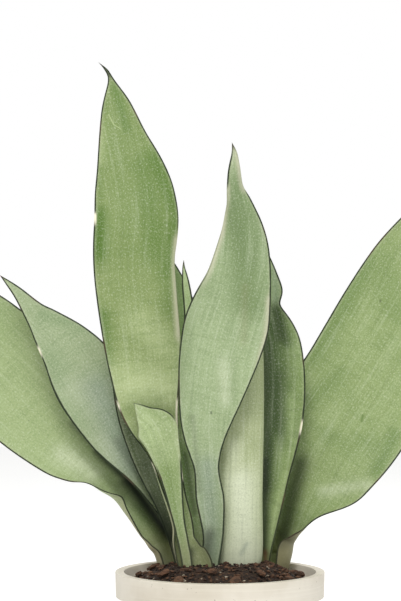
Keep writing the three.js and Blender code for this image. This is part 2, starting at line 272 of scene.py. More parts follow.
def leaf_finish(
    name,
    silver,
    green,
    outer,
    seed,
    shine="dbe2c6",
    foot="a39f80",
    patchiness=0.5,
    streaky=1.0,
    banded=1.0,
    awl=0.9,
    scars=(),
):
    """Waxy, silver-green blade: clouds of green, faint cross bands, fine streaks, a thin dark margin.
    Its shade marks are painted shade, and some of its silver marks painted light.

    across, along, edge and tip are lengths in mm: from the midrib, up the blade, to the margin, to the tip.
    """
    f = Finish(name)
    tones = {key: colour(text) for key, text in LEAF_TONES.items()}
    across, along, edge = f.kept("blade")
    inner, tip, _ = f.kept("place")
    greener_and_shaded, silver_and_painted_light, bluish = f.kept("tones")
    # shade is painted shade; cream and brown are the leaf's own pale nicks and scorch.
    shade, cream, brown = f.kept("painted_shade_and_wear")
    plain, pale, dark = f.kept("margin")

    clouds = f.noise(f.place(across * 0.022, along * 0.011, seed), detail=4.0, rough=0.55, twist=0.4)
    bands = f.noise(f.place(across * 0.05, along * 0.2, seed + 4), detail=3.0, twist=0.8)
    streaks = f.noise(f.place(across * 0.34, along * 0.012, seed + 8), detail=4.0, rough=0.65)
    stipple = f.noise(f.place(across * 0.8, along * 0.62, seed + 2), detail=2.0, rough=0.75)
    fleck = f.cells(f.place(across * 0.2, along * 0.15, seed))
    fleck_pick = f.noise(f.place(across * 0.28, along * 0.21, seed + 6), detail=1.0)

    # Green marks deepen the green: the leaf's own patches, and painted shade on a few leaves.
    deep = (clouds.step(0.5, 0.72) * patchiness * 0.6).most(greener_and_shaded * (0.75 + clouds * 0.4))
    body = f.blend(colour(silver), colour(green), deep.least(1.0))
    body = f.blend(body, colour(outer), (1 - inner) * 0.55)
    # Silver marks: the leaf's own pale patches, and on a few leaves painted light
    # where a margin turns to the light or where it lifts a neighbour's shade.
    body = f.blend(body, colour(shine), silver_and_painted_light)
    body = f.blend(body, tones["bluish"], bluish)
    body = f.blend(body, colour(green), bands.step(0.42, 0.7) * (0.2 * banded))
    body = f.blend(body, tones["pale streak"], streaks.step(0.48, 0.76) * (0.22 * streaky))
    body = f.blend(body, tones["deep streak"], (1 - streaks.step(0.28, 0.52)) * (0.2 * streaky))
    body = f.blend(body, tones["pale grain"], stipple.step(0.5, 0.76) * 0.3)
    body = f.blend(body, tones["deep grain"], (1 - stipple.step(0.26, 0.5)) * 0.28)
    specks = (1 - fleck.step(0.05, 0.1)) * fleck_pick.step(0.62, 0.66)
    body = f.blend(body, tones["speck"], specks * 0.6)
    flecks = (1 - fleck.step(0.04, 0.1)) * (1 - fleck_pick.step(0.34, 0.4))
    body = f.blend(body, tones["fleck"], flecks * 0.12)

    body = f.blend(body, tones["thin edge"], (1 - edge.step(0.8, 3.2)) * 0.14)
    body = f.blend(body, tones["worn edge"], (pale * (1 - edge.step(0.4, 6.5))).least(1.0) * 0.7)
    foot_share = 1 - (along * (inner * 0.4 + 0.6)).step(24.0, 62.0)
    body = f.blend(body, colour(foot), foot_share * (0.85 - 0.45 * inner))
    # Painted shade: near black where the shade marks lie.
    body = f.blend(body, tones["shade"], shade)
    body = f.blend(body, tones["scorch"], brown * 0.8)

    wander = f.noise(f.place(along * 0.08, inner, seed + 9), detail=3.0, rough=0.7)
    rim = 1 - (edge - wander * 1.1 - dark).step(-0.3, 0.35)
    rim = rim * (1 - plain.least(1.0))
    dry = f.noise(f.place(along * 0.035, across * 0.01, seed + 12), detail=2.0)
    rim_colour = f.blend(tones["rim"], tones["dry rim"], dry.step(0.56, 0.7) * 0.5)
    rim_colour = f.blend(rim_colour, tones["bare rim"], cream)
    body = f.blend(body, rim_colour, rim * (0.95 - 0.1 * foot_share))
    body = f.blend(body, tones["bare edge"], cream * (1 - edge.step(0.5, 1.8)) * 0.9)
    body = f.blend(body, tones["awl"], (1 - tip.step(1.5, 9.0)) * awl)

    for x0, up0, x1, up1, width, tint in scars:
        body = f.blend(body, colour(tint), f.scar(x0, up0, x1, up1, width) * 0.65)

    relief = streaks * 0.6 + stipple * 0.35 + bands * 0.5 - rim * 0.4
    return f.done(
        Base_Color=body,
        Roughness=0.5 + stipple * 0.16 - deep * 0.05 + rim * 0.25,
        Specular_IOR_Level=0.3,
        Coat_Weight=0.04,
        Coat_Roughness=0.4,
        Normal=f.bump(relief, 0.4 * MM),
    )


# The finishes below read metres, so a noise of scale 1000 has grains of about a millimetre.


def pot_finish():
    """Matt off-white stoneware: fine speckle, faint turning lines, and a foot that is a little darker."""
    f = Finish("pot_stoneware")
    where = f.object_place()
    x, y, z = f.parts(where)
    clouds = f.noise(where, 14.0, 4.0, 0.6)
    grain = f.noise(where, 900.0, 3.0, 0.7)
    speck = f.cells(where, 260.0)
    speck_pick = f.noise(where, 130.0, 1.0)
    turning = f.noise(f.place(x * 6, y * 6, z * 420), 1.0, 3.0, 0.6)
    body = f.blend(colour("dfd9cc"), colour("cfc7b7"), clouds.step(0.4, 0.7))
    body = f.blend(body, colour("ebe6da"), turning.step(0.5, 0.75) * 0.35)
    body = f.blend(body, colour("8d8270"), (1 - speck.step(0.1, 0.2)) * speck_pick.step(0.55, 0.6) * 0.55)
    darker_foot = (1 - (z + clouds * 0.02).step(0.008, 0.04)) * 0.35
    body = f.blend(body, colour("b9ad98"), darker_foot)
    relief = turning * 0.7 + grain * 0.25 + clouds * 0.6
    return f.done(
        Base_Color=body,
        Roughness=0.62 + grain * 0.16,
        Specular_IOR_Level=0.4,
        Normal=f.bump(relief, 0.35 * MM),
    )


def mix_finish():
    """Dark potting mix: peat, crumbled bark and a few pale grains."""
    f = Finish("potting_mix")
    where = f.object_place()
    lumps = f.noise(where, 160.0, 5.0, 0.65)
    grain = f.noise(where, 1400.0, 3.0, 0.7)
    crumbs = f.cells(where, 420.0)
    tone = f.cells(where, 420.0, "Color")
    pick = f.parts(tone)[0]
    body = f.blend(colour("241811"), colour("4b3323"), lumps.step(0.35, 0.7))
    body = f.blend(body, colour("6d4d34"), pick.step(0.72, 0.95) * 0.7)
    # Painted shade: near black in the gaps between crumbs, where the bump sinks.
    body = f.blend(body, colour("120c08"), crumbs.step(0.3, 0.6) * 0.6)
    body = f.blend(body, colour("b7ab98"), pick.step(0.975, 0.985) * 0.8)
    relief = (1 - crumbs) * 0.8 + grain * 0.3 + lumps * 0.5
    return f.done(Base_Color=body, Roughness=0.86 + grain * 0.12, Normal=f.bump(relief, 0.9 * MM))


def bark_finish():
    """Pine bark: layered red-brown plates, paler on the raised lumps, and darkened in the hollows as painted
    shade.
    """
    f = Finish("pine_bark")
    where = f.object_place()
    x, y, z = f.parts(where)
    layers = f.noise(f.place(x * 140, y * 140, z * 900), 1.0, 4.0, 0.65, 0.6)
    lumps = f.noise(where, 240.0, 4.0, 0.6)
    grain = f.noise(where, 1700.0, 2.0, 0.7)
    body = f.blend(colour("34241a"), colour("6d4c36"), layers.step(0.36, 0.66))
    body = f.blend(body, colour("957355"), lumps.step(0.58, 0.75) * 0.6)
    # Painted shade: near black in the hollows between the lumps.
    body = f.blend(body, colour("1d120c"), (1 - lumps.step(0.28, 0.42)) * 0.7)
    relief = layers * 0.8 + lumps * 0.5 + grain * 0.25
    return f.done(Base_Color=body, Roughness=0.8 + grain * 0.15, Normal=f.bump(relief, 0.8 * MM))


def rhizome_finish():
    """Tan creeping stem with darker scale rings."""
    f = Finish("rhizome_skin")
    where = f.object_place()
    x, y, z = f.parts(where)
    rings = f.noise(f.place(x * 260, y * 20, z * 20), 1.0, 3.0, 0.6)
    spots = f.noise(where, 300.0, 3.0, 0.6)
    body = f.blend(colour("c9a878"), colour("8a623d"), rings.step(0.45, 0.65))
    body = f.blend(body, colour("e3cfa3"), spots.step(0.55, 0.75) * 0.5)
    return f.done(Base_Color=body, Roughness=0.6 + spots * 0.2, Normal=f.bump(rings + spots * 0.4, 0.5 * MM))


# ---- leaves

# Where the section points of a CAD blade lie, from the left margin over the midrib to the right.
SECTION = (-1, -0.78, -0.42, 0, 0.42, 0.78, 1)
# Fine rows and columns of a blade. The columns lie closer together towards the margins.
ROWS_PER_RING = 9
COLUMNS = 39
MIDRIB = COLUMNS // 2
CROWDING = 0.72
SHARES = np.sin(np.linspace(-1, 1, COLUMNS) * math.pi / 2 * CROWDING) / math.sin(math.pi / 2 * CROWDING)
# Points that round each margin, and the points round a whole row.
RIM_POINTS = 3
LOOP = 2 * COLUMNS + 2 * RIM_POINTS
# How far up its rings a blade is broad enough to tell its margins from its faces.
BROAD_PART = 0.62
TINY = 1e-9
# Below this height above the mix a foot can lean over to its neighbour.
HUG_HEIGHT = 30 * MM
# Waves of a blade in mm: their lengths across, up and in depth, the still part at its foot, how soon they
# grow above it, and how soon they die out at the tip.
BROAD_WAVES = (46, 58, 60)
FINE_WAVES = (17, 21, 20)
STILL_FOOT = 24
WAVE_GROWTH = 50
STILL_TIP = 40
# A stroke's strength falls to about a quarter at its reach.
STROKE_FALL = 1.4
# What a mark can do, by the kept value that carries it. Most shade marks are painted shade.
MARKS = {
    "tones": ("green", "silver", "blue"),
    "painted_shade_and_wear": ("shade", "cream", "brown"),
    "margin": ("plain", "pale", "dark"),
}


def blade_rings(node):
    """The rings of a CAD blade from its foot to its tip, as [ring][point], and the tip itself.

    Each ring runs over the inner face from left to right, and back over the outer face.
    """
    copy = carried_copy(node, node + "_rings")
    copy.data.calc_loop_triangles()
    places = np.array([v.co[:] for v in copy.data.vertices])
    third = {}
    count = {}
    for triangle in copy.data.loop_triangles:
        a, b, c = triangle.vertices
        for p, q, r in ((a, b, c), (b, c, a), (c, a, b)):
            third[p, q] = r
            count[p] = count.get(p, 0) + 1
    # The tip is the highest point with as many triangles as a ring has points.
    around = 2 * len(SECTION)
    pole = max((v for v in count if count[v] == around), key=lambda v: places[v][2])
    following = {q: r for (p, q), r in third.items() if p == pole}
    start = next(iter(following))
    ring = [start]
    while following[ring[-1]] != start:
        ring.append(following[ring[-1]])
    # Each next ring lies across the edges of the one above, down to the foot.
    rings = [ring]
    used = set(ring) | {pole}
    while True:
        upper = rings[-1]
        lower = [third.get((upper[(i + 1) % around], upper[i])) for i in range(around)]
        if None in lower or used & set(lower) or len(set(lower)) < around:
            break
        rings.append(lower)
        used |= set(lower)
    rings.reverse()
    points = np.array([[places[v] for v in ring] for ring in rings])
    # The two short gaps of a broad ring are its margins, and the face nearer the front comes first.
    broad = points[int(len(points) * BROAD_PART)]
    gaps = np.linalg.norm(np.roll(broad, -1, axis=0) - broad, axis=1)
    half = len(SECTION)
    turn = int(np.argmin(gaps[:half] + gaps[half:])) + 1
    points = np.roll(points, -turn, axis=1)
    broad = np.roll(broad, -turn, axis=0)
    if broad[half // 2][1] > broad[half + half // 2][1]:
        points = np.roll(points, -half, axis=1)
    bpy.data.objects.remove(copy)
    return points, places[pole]


def cubic_weights(knots, places):
    """Weights that turn values at the knots into a natural cubic's values at the places."""
    n = len(knots)
    h = np.diff(knots)
    system = np.eye(n)
    right = np.zeros((n, n))
    for i in range(1, n - 1):
        system[i, i - 1 : i + 2] = h[i - 1], 2 * (h[i - 1] + h[i]), h[i]
        right[i, i - 1] = 6 / h[i - 1]
        right[i, i] = -6 / h[i - 1] - 6 / h[i]
        right[i, i + 1] = 6 / h[i]
    bend = np.linalg.solve(system, right)
    weights = np.zeros((len(places), n))
    for row, x in enumerate(places):
        i = min(max(int(np.searchsorted(knots, x)) - 1, 0), n - 2)
        a, b = knots[i + 1] - x, x - knots[i]
        weights[row] = (a**3 / h[i] - h[i] * a) / 6 * bend[i] + (b**3 / h[i] - h[i] * b) / 6 * bend[i + 1]
        weights[row, i] += a / h[i]
        weights[row, i + 1] += b / h[i]
    return weights


def lengths(paths, axis):
    """How long each step of the paths is."""
    return np.linalg.norm(np.diff(paths, axis=axis), axis=-1)


class Blade:
    """A CAD blade as fine rows of points over its inner and its outer face, from the foot to the tip."""

    def __init__(self, node):
        rings, self.tip = blade_rings(node)
        half = len(SECTION)
        levels = np.concatenate([rings, np.repeat(self.tip[None, None], 2 * half, axis=1)])
        knots = np.arange(len(levels), dtype=float)
        rows = np.linspace(0, len(levels) - 1, (len(levels) - 1) * ROWS_PER_RING + 1)[:-1]
        along = np.einsum("rk,kpx->rpx", cubic_weights(knots, rows), levels)
        across = cubic_weights(np.array(SECTION, float), SHARES)
        self.inner = np.einsum("ck,rkx->rcx", across, along[:, :half])
        self.outer = np.einsum("ck,rkx->rcx", across, along[:, half:][:, ::-1])
        self.points, self.kept, self.middles, self.front = [], {"blade": [], "place": []}, [], []

    def hug(self, side, reach):
        """Near the mix, the margin on this side, -1 or 1, reaches up to this many mm further to the left."""
        low = np.maximum(0, 1 - np.maximum(0, self.inner[:, MIDRIB, 2] - CROWN) / HUG_HEIGHT)
        over = reach * MM * low[:, None] * np.maximum(0, side * SHARES) ** 2
        self.inner[..., 0] -= over
        self.outer[..., 0] -= over

    def measure(self):
        """Its middle, the way through it, and the lengths across, along and left up to the tip."""
        self.middle = (self.inner + self.outer) / 2
        through = self.inner - self.outer
        self.through = through / np.maximum(np.linalg.norm(through, axis=2, keepdims=True), TINY)
        steps = lengths(self.middle, 1)
        self.reach = np.concatenate([np.zeros((len(steps), 1)), np.cumsum(steps, axis=1)], axis=1)
        spine = self.middle[:, MIDRIB]
        self.run = np.concatenate([[0], np.cumsum(lengths(spine, 0))])
        self.left = self.run.max() + np.linalg.norm(self.tip - spine[-1]) - self.run

    def wave(self, depth):
        """Waves of this depth in mm, stronger towards the margins and none at the foot and the tip."""
        broad_x, broad_z, broad_y = BROAD_WAVES
        fine_x, fine_z, fine_y = FINE_WAVES
        for r in range(len(self.middle)):
            calm = min(1, max(0, (self.run[r] / MM - STILL_FOOT) / WAVE_GROWTH))
            calm = calm * min(1, self.left[r] / MM / STILL_TIP)
            for c in range(COLUMNS):
                x, y, z = self.middle[r, c] / MM
                broad = noise.noise(Vector((x / broad_x + 9, z / broad_z, y / broad_y)))
                fine = noise.noise(Vector((x / fine_x, z / fine_z + 5, y / fine_y)))
                lift = calm * depth * MM * ((0.35 + abs(SHARES[c]) ** 2) * broad + 0.22 * fine)
                self.inner[r, c] += self.through[r, c] * lift
                self.outer[r, c] += self.through[r, c] * lift

    def add(self, p, r, c, inside, off_edge=0.0):
        """A point of the skin. inside is 1 on the inner face, 0 on the outer, 0.5 round a margin."""
        side = self.reach[r, c] - self.reach[r, MIDRIB]
        edge = -off_edge if off_edge else min(self.reach[r, c], self.reach[r, -1] - self.reach[r, c])
        self.points.append(p)
        self.kept["blade"].append((side / MM, self.run[r] / MM, edge / MM))
        self.kept["place"].append((inside, self.left[r] / MM, 0.0))
        self.middles.append(self.middle[r, c])
        faces_front = inside == 0.5 or (inside > 0.5) == (self.through[r, c][1] < 0)
        self.front.append(1.0 if faces_front else 0.0)

    def round_margin(self, r, c, near, first, last):
        """Points round the margin of a row, from the first face to the last."""
        centre, radius = (first[r, c] + last[r, c]) / 2, (first[r, c] - last[r, c]) / 2
        away = self.middle[r, c] - self.middle[r, near]
        away /= max(np.linalg.norm(away), TINY)
        size = np.linalg.norm(radius)
        for i in range(1, RIM_POINTS + 1):
            turn = math.pi * i / (RIM_POINTS + 1)
            bulge = size * math.sin(turn)
            self.add(centre + radius * math.cos(turn) + away * bulge, r, c, 0.5, bulge)

    def skin(self):
        """All points: round every row from the foot up, and the tip. Returns the faces between them."""
        rows = len(self.middle)
        for r in range(rows):
            for c in range(COLUMNS):
                self.add(self.inner[r, c], r, c, 1.0)
            self.round_margin(r, COLUMNS - 1, COLUMNS - 2, self.inner, self.outer)
            for c in reversed(range(COLUMNS)):
                self.add(self.outer[r, c], r, c, 0.0)
            self.round_margin(r, 0, 1, self.outer, self.inner)
        self.add(self.tip, rows - 1, MIDRIB, 1.0)
        faces = []
        for r in range(rows - 1):
            for i in range(LOOP):
                a, b = r * LOOP + i, r * LOOP + (i + 1) % LOOP
                faces.append((a, b, b + LOOP, a + LOOP))
        top = (rows - 1) * LOOP
        faces += [(top + i, top + (i + 1) % LOOP, top + LOOP) for i in range(LOOP)]
        # The foot is closed by a strip from face to face, and by a cap at each rounded margin.
        behind = 2 * COLUMNS + RIM_POINTS - 1
        faces += [(c, behind - c, behind - c - 1, c + 1) for c in range(COLUMNS - 1)]
        faces.append(list(range(COLUMNS + RIM_POINTS, COLUMNS - 2, -1)))
        faces.append([0] + list(range(LOOP - 1, LOOP - RIM_POINTS - 2, -1)))
        return faces


def stroke_share(points, stroke):
    """How strongly a straight stroke, seen from the front, marks each point: 1 on it, 0 far off."""
    _, x0, z0, x1, z1, reach, strength = stroke
    start, line = np.array([x0, z0]), np.array([x1 - x0, z1 - z0])
    seen = points[:, [0, 2]] / MM - [0, CROWN / MM]
    share = np.clip((seen - start) @ line / (line @ line), 0, 1)
    far = np.linalg.norm(seen - start - share[:, None] * line, axis=1) / reach
    return strength * np.exp(-STROKE_FALL * far**2)


def leaf_piece(name, wave, marks, hug=(0, 0)):
    """A leaf as a closed skin over its blade, with all that its finish needs kept at every point."""
    blade = Blade(name)
    blade.hug(*hug)
    blade.measure()
    blade.wave(wave)
    faces = blade.skin()
    kept = {key: np.array(values) for key, values in blade.kept.items()}
    middles, front = np.array(blade.middles), np.array(blade.front)
    for key, kinds in MARKS.items():
        kept[key] = np.zeros((len(middles), 3))
        for stroke in marks:
            kind = stroke[0]
            if kind in kinds:
                # Marks of the margin go right round it. The others are only on the side that is seen.
                both_sides = key == "margin" or kind == "cream"
                share = stroke_share(middles, stroke) * (1 if both_sides else front)
                column = kept[key][:, kinds.index(kind)]
                np.maximum(column, share, out=column)
    piece = new_piece(name + "_blade", blade.points, faces)
    for key, values in kept.items():
        layer = piece.data.attributes.new(key, "FLOAT_VECTOR", "POINT")
        layer.data.foreach_set("vector", values.astype(np.float32).ravel())
    smooth(piece)
    return piece


# Each leaf: how far its surface waves in mm, its finish, and its marks. A mark is a straight stroke seen
# from the front: (kind, start x, start height above the mix, end x, end height, reach, strength), in mm.
# A scar is a thinner one: (start x, start height, end x, end height, width, colour). hug is for a foot that
# reaches over to its neighbour on the left: (the margin that does, -1 or 1, and how far in mm).
# Shade strokes paint shade where leaves overlap, in deep channels and at the feet; one darkens a dry tip.
# Some green, silver and blue strokes also paint shade and light, as noted at each leaf.
LEAVES = {
    "tall_leaf": dict(
        wave=1.1,
        finish=dict(
            silver="84955d",
            green="507023",
            outer="98a577",
            shine="c3cf9d",
            seed=3.0,
            patchiness=0.45,
            streaky=0.6,
            scars=[(-90, 362, -86, 354, 0.8, "a9b985"), (-86, 354, -80, 350, 0.6, "a9b985")],
        ),
        marks=[
            ("green", -36, 290, -52, 325, 16, 0.9),
            ("green", -35, 280, -43, 235, 12, 0.8),
            ("green", -60, 320, -50, 250, 20, 0.7),
            ("green", -98, 250, -98, 280, 12, 1),
            ("green", -96, 295, -98, 320, 6, 0.45),
            ("green", -93, 165, -94, 200, 9, 0.85),
            ("green", -43, 225, -42, 205, 9, 0.5),
            ("green", -85, 385, -75, 350, 7, 0.75),
            ("green", -78, 345, -66, 262, 35, 0.35),
            ("silver", -80, 145, -45, 142, 22, 0.6),
            ("silver", -62, 195, -42, 170, 14, 0.35),
            # Painted light: lifts the shade that the heart leaf casts beside its left margin.
            ("silver", -67, 116, -54, 88, 9, 0.55),
            ("silver", -96, 350, -97, 325, 5, 0.25),
            # This stroke darkens the dry awl tip, its own colour.
            ("shade", -98, 405, -90, 395, 5, 0.85),
            ("pale", -35, 260, -34, 185, 6, 0.9),
            ("plain", -35, 265, -34, 180, 7, 1),
            ("plain", -80, 363, -67, 347, 5, 0.6),
            ("cream", -100, 280, -98, 275, 2.5, 1),
            ("cream", -82, 129, -82, 125, 2, 1),
            ("cream", -52, 82, -48, 76, 2.6, 1),
            ("cream", -34, 130, -35, 100, 3.5, 0.95),
            ("cream", -30, 80, -29, 71, 2.6, 0.9),
            # Painted shade in the channel at its foot.
            ("shade", -26, 0, -24, 11, 5, 0.7),
        ],
    ),
    "heart_leaf": dict(
        wave=0.15,
        finish=dict(
            silver="98a977",
            green="71884a",
            outer="98a577",
            shine="b9cb95",
            seed=11.0,
            patchiness=0.3,
            awl=0.0,
        ),
        marks=[
            ("silver", -62, 118, -55, 105, 8, 0.4),
            ("green", -42, 75, -34, 5, 12, 0.8),
            ("green", -55, 125, -35, 117, 4, 0.35),
            ("plain", -68, 124, -51, 84, 7, 1),
            ("plain", -34, 115, -34, 90, 6, 1),
        ],
    ),
    "centre_leaf": dict(
        wave=0.8,
        finish=dict(
            silver="9cad83",
            green="6c8252",
            outer="9ba786",
            seed=21.0,
            patchiness=0.35,
            foot="8e9c80",
            scars=[(-7, 123.5, -7, 122.5, 1.5, "4f5e45")],
        ),
        marks=[
            ("green", 14, 300, 22, 213, 23, 0.9),
            ("green", 30, 280, 35, 250, 10, 0.5),
            ("green", -4, 245, 6, 250, 9, 0.3),
            # Painted shade along its left margin.
            ("shade", -22, 120, -17, 60, 3, 0.25),
            ("green", 10, 213, 11, 133, 5, 0.3),
            ("green", -12, 240, -4, 220, 12, 0.3),
            ("silver", 2, 165, 5, 133, 6, 0.3),
            ("brown", 20, 224, 19, 180, 4, 0.12),
            ("pale", 4, 302, 2, 265, 4.5, 0.9),
            ("pale", 2, 265, -11, 225, 4, 0.8),
            ("pale", 13, 333, 17, 302, 5, 0.8),
            ("pale", 38, 213, 34, 163, 6, 0.9),
            ("plain", 4, 300, 3, 267, 5, 1),
            ("plain", 3, 267, -11, 225, 5, 0.75),
            ("plain", 14, 334, 18, 302, 4.5, 1),
            ("blue", -10, 80, -7, 10, 11, 0.65),
            # Painted shade at its foot.
            ("shade", -13, 5, -9, 24, 7, 0.6),
        ],
    ),
    "keeled_leaf": dict(
        wave=0.3,
        finish=dict(
            silver="adb78c",
            green="7a8858",
            outer="bcc39c",
            foot="cdd2b8",
            seed=31.0,
            patchiness=0.15,
            banded=0.5,
        ),
        marks=[
            # The top green stroke is its own green and painted shade under the centre leaf.
            ("green", 34, 175, 24, 125, 15, 0.5),
            ("green", 16, 105, 28, 98, 9, 0.25),
            # The broad silver strokes are its pale lower blade and painted light lifting the centre leaf's
            # shade.
            ("silver", 16, 66, 18, 4, 16, 0.85),
            ("silver", 12, 95, 12, 80, 8, 0.4),
            ("green", 21, 100, 22, 20, 2.5, 0.25),
            ("blue", 17, 8, 21, 16, 2.2, 0.7),
            ("plain", 10, 150, 10, 0, 60, 1),
        ],
    ),
    "backing_leaf": dict(
        wave=0.4,
        finish=dict(
            silver="889d63",
            green="435a2a",
            outer="939f7b",
            # Pale yellow-green shine and foot: partly painted light on the strip that turns to the light.
            shine="b9cd92",
            seed=41.0,
            patchiness=0.3,
            foot="b9cd94",
        ),
        marks=[
            # Beside the keeled leaf's edge the green and shade strokes are its deep green and painted shade.
            ("green", 43, 190, 45, 105, 17, 1),
            ("green", 41, 105, 38, 60, 9, 1),
            ("green", 46, 203, 53, 177, 9, 1),
            ("shade", 37, 177, 38, 81, 6, 0.5),
            ("shade", 48, 150, 46, 110, 8, 0.25),
            ("shade", 37, 81, 36, 8, 6, 0.8),
            ("shade", 46, 203, 50, 182, 7, 0.45),
            # Painted highlight: the silver strip down its right margin, where it turns to the light.
            ("silver", 60, 98, 56, 70, 5, 0.35),
            ("silver", 56, 70, 46, 35, 5, 0.95),
            ("silver", 46, 35, 42, 8, 4, 1),
            ("silver", 58, 133, 58, 100, 4, 0.35),
            ("dark", 68, 104, 54, 40, 3, 0.8),
            ("blue", 45, 237, 46, 213, 7, 0.5),
            ("brown", 38, 6, 38, 0, 3, 0.9),
            ("cream", 67, 111, 67, 106, 3, 1),
        ],
    ),
    "right_leaf": dict(
        wave=1.3,
        hug=(-1, 3),
        finish=dict(
            silver="8d9f68",
            green="5c7837",
            outer="93a077",
            foot="8b8462",
            seed=51.0,
            patchiness=0.5,
            streaky=0.8,
            scars=[(132, 210.5, 132, 209.5, 1.6, "55603a"), (117, 117, 116, 112, 1.5, "5c7638")],
        ),
        marks=[
            ("green", 77, 165, 122, 243, 12, 0.6),
            ("green", 72, 129, 96, 149, 12, 0.45),
            ("green", 142, 101, 128, 72, 8, 0.7),
            ("green", 88, 101, 112, 89, 10, 0.35),
            ("green", 130, 240, 145, 205, 20, 0.35),
            ("green", 118, 95, 130, 90, 12, 0.45),
            ("silver", 85, 55, 120, 62, 6, 0.3),
            ("dark", 100, 53, 60, 18, 6, 0.8),
            # Painted shade beside the backing leaf's margin.
            ("shade", 66, 77, 53, 19, 10, 0.65),
            ("shade", 64, 101, 67, 133, 5, 0.35),
            ("shade", 58, 29, 50, 14, 7, 0.5),
        ],
    ),
    "spear_leaf": dict(
        wave=0.1,
        finish=dict(silver="acc08c", green="748f52", outer="9aab7c", seed=61.0, patchiness=0.3),
        marks=[
            # Low between the tall and centre leaves: deep green and painted shade.
            ("green", -31, 92, -22, 15, 8, 1),
            ("shade", -28, 88, -20, 40, 3, 0.45),
        ],
    ),
    "rear_leaf": dict(
        wave=0.3,
        finish=dict(silver="97b078", green="718e50", outer="8d9d73", seed=71.0, patchiness=0.5),
        marks=[],
    ),
    "olive_leaf": dict(
        wave=0.3,
        finish=dict(silver="667254", green="505f3c", outer="8d9575", seed=81.0, patchiness=0.3),
        marks=[
            # Painted shade in the dark wedge under the left leaves.
            ("shade", -64, 77, -48, 33, 7, 0.3),
            ("shade", -60, 50, -42, 20, 12, 0.95),
        ],
    ),
    "left_leaf": dict(
        wave=0.8,
        finish=dict(silver="9cab84", green="6f8a5c", outer="9ba48e", seed=91.0, patchiness=0.4, streaky=0.6),
        marks=[
            # Where the tall leaf overlaps: blue-grey tone and painted shade.
            ("blue", -98, 140, -72, 77, 17, 0.7),
            ("shade", -82, 97, -56, 53, 6, 0.3),
            ("green", -142, 200, -100, 190, 7, 0.45),
            ("green", -138, 165, -132, 145, 14, 0.35),
            ("silver", -118, 140, -98, 130, 16, 0.2),
            ("silver", -94, 98, -84, 80, 8, 0.3),
            ("dark", -140, 145, -64, 54, 4, 0.6),
            ("cream", -146, 172, -146, 169, 3, 1),
        ],
    ),
    "far_left_leaf": dict(
        wave=1.2,
        finish=dict(
            silver="9fb07d",
            green="6c864a",
            outer="98a47b",
            foot="a39b7c",
            seed=101.0,
            patchiness=0.4,
            streaky=0.6,
        ),
        marks=[
            ("green", -175, 205, -165, 185, 14, 0.3),
            ("green", -64, 41, -44, 11, 8, 0.7),
            ("silver", -128, 86, -104, 70, 10, 0.4),
            ("dark", -120, 62, -50, 3, 4, 0.6),
            # Painted shadow of the left leaf along its lower margin, and painted shade in the wedge at its
            # foot.
            ("shade", -120, 111, -100, 88, 3.5, 0.6),
            ("shade", -100, 88, -76, 63, 5, 0.95),
            ("shade", -76, 63, -42, 20, 9, 1),
            ("shade", -60, 56, -42, 36, 10, 1),
        ],
    ),
}

for leaf, looks in LEAVES.items():
    piece = leaf_piece(leaf, looks["wave"], looks["marks"], looks.get("hug", (0, 0)))
    settle(piece, leaf_finish(leaf + "_skin", **looks["finish"]), "leaf_blade", leaf)

# ---- pot

POT_TOP = POT_HIGH.z
POT_RADIUS = (POT_HIGH.x - POT_LOW.x) / 2
POT_FOOT = 60 * MM
POT_WALL = 4.5 * MM
POT_FLOOR = 6 * MM
POT_SIDES = 144
RIM_HEIGHT = 20 * MM
RIM_STEP = 2.5 * MM
RIM_TAPER = 0.4 * MM
EDGE_ROUNDING = 1.3 * MM
DRAIN_HOLES = 4
DRAIN_CIRCLE = 34 * MM
DRAIN_RADIUS = 6 * MM


def outer_radius(z):
    """How far the pot's sloping wall is from the axis at this height."""
    return POT_FOOT + (POT_RADIUS - RIM_STEP - POT_FOOT) * z / POT_TOP


def ring_place(radius, turn, z):
    """A place on a level ring round the axis."""
    return (radius * math.cos(turn), radius * math.sin(turn), z)


def face_up(piece, z):
    """Selects only the flat face that looks up at this height."""
    shell = bmesh.from_edit_mesh(piece.data)
    shell.select_mode = {"FACE"}
    for face in shell.faces:
        face.select_set(abs(face.calc_center_median().z - z) < 1e-6 and face.normal.z > 0.99)
    shell.select_flush_mode()
    bmesh.update_edit_mesh(piece.data)


